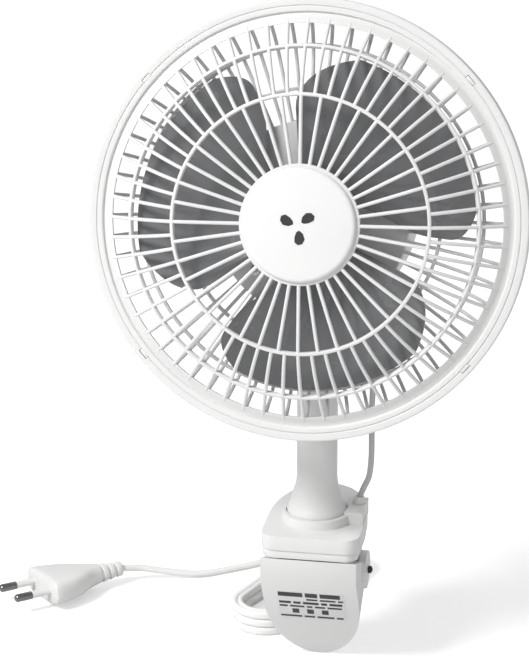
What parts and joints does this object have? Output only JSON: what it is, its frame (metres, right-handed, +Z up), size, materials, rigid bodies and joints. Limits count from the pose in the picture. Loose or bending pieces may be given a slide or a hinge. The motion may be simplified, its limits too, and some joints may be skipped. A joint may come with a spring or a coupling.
{
  "type": "clip-on fan",
  "caption": "Small clip-on fan: a round ribbed cage with a three-blade rotor on a short tilting and swivelling stem, over a sprung two-jaw clamp, with a hanked mains cord and two-pin plug.",
  "frame": {"origin": "centre of the upper jaw pad's face, where the clamp sits on a shelf or table edge", "axes": "+Z up along the stem, -Y the way the fan blows, +X to the right seen from the front"},
  "size_m": [0.2645, 0.1865, 0.3254],
  "materials": {
    "white_plastic": "satin moulded plastic",
    "cap_plastic": "smooth moulded plastic",
    "grey_blade": "glossy moulded plastic",
    "black_plastic": "matte",
    "nylon": "natural nylon",
    "white_flex": "soft PVC",
    "cord_white": "soft PVC sheath",
    "plug_white": "moulded PVC",
    "lead_grey": "soft PVC",
    "label_foil": "matt printed film",
    "pad_rubber": "ribbed",
    "zinc_steel": "bright zinc",
    "spring_steel": "drawn wire",
    "shaft_steel": "ground",
    "lamination_steel": "stacked sheet",
    "coil_wire": "enamelled wire",
    "bearing_bronze": "sintered",
    "pin_metal": "nickel plated"
  },
  "bodies": {
    "clamp_base": {"upper_cover": "white_plastic", "upper_tray": "white_plastic", "upper_pad": "pad_rubber", "tray_screws": "zinc_steel", "hinge_pin": "zinc_steel", "pin_caps": "black_plastic", "clamp_spring": "spring_steel", "switch_body": "black_plastic", "terminal_block": "nylon", "cord_clamp": "nylon", "cord_gland": "white_flex", "lead_grommet": "white_flex", "swivel_washer": "black_plastic", "motor_lead_lower": "lead_grey", "mains_cord_drop": "cord_white", "cord_hank": "cord_white", "hank_tie": "black_plastic", "mains_cord_run": "cord_white", "plug_body": "plug_white", "pin_sleeves": "plug_white", "plug_pins": "pin_metal"},
    "lower_jaw": {"lower_jaw": "white_plastic", "lower_pad": "pad_rubber", "rating_label": "label_foil"},
    "switch_knob": {"switch_knob": "black_plastic"},
    "stem": {"stem": "white_plastic", "swivel_retainer": "zinc_steel", "retainer_screw": "zinc_steel", "tilt_bolt": "zinc_steel", "tilt_nut": "black_plastic"},
    "head": {"motor_housing_front": "white_plastic", "motor_housing_rear": "white_plastic", "housing_screws": "zinc_steel", "rear_guard": "white_plastic", "guard_screws": "zinc_steel", "front_guard": "white_plastic", "guard_clips": "white_plastic", "badge_cap": "cap_plastic", "stator_core": "lamination_steel", "field_coil": "coil_wire", "front_bracket": "zinc_steel", "rear_bracket": "zinc_steel", "front_bearing": "bearing_bronze", "rear_bearing": "bearing_bronze", "motor_screws": "zinc_steel", "lead_bush": "white_flex", "motor_lead_upper": "lead_grey"},
    "rotor": {"motor_shaft": "shaft_steel", "rotor_core": "lamination_steel", "fan_blade": "grey_blade", "blade_nut": "grey_blade"}
  },
  "joints": [
    {"name": "jaw_hinge", "type": "hinge", "parent": "clamp_base", "child": "lower_jaw", "pos_m": [0, 0.0141, -0.0145], "axis": [1, 0, 0], "range_deg": [0, 45], "stiffness_Nm_per_rad": 0.4, "springref_deg": -57.3, "deforming": ["clamp_spring"]},
    {"name": "stem_swivel", "type": "hinge", "parent": "clamp_base", "child": "stem", "pos_m": [0, 0.0111, 0.0115], "axis": [0, 0, 1], "range_deg": [-60, 60], "deforming": ["motor_lead_lower"]},
    {"name": "head_tilt", "type": "hinge", "parent": "stem", "child": "head", "pos_m": [0, 0.0111, 0.1005], "axis": [1, 0, 0], "range_deg": [-35, 30], "deforming": ["motor_lead_upper"]},
    {"name": "rotor_spin", "type": "hinge", "parent": "head", "child": "rotor", "pos_m": [0, -0.02184, 0.1668], "axis": [0, -0.9781, 0.2079], "continuous": true},
    {"name": "switch_slide", "type": "slide", "parent": "clamp_base", "child": "switch_knob", "axis": [0, 1, 0], "range_m": [0, 0.006]}
  ]
}
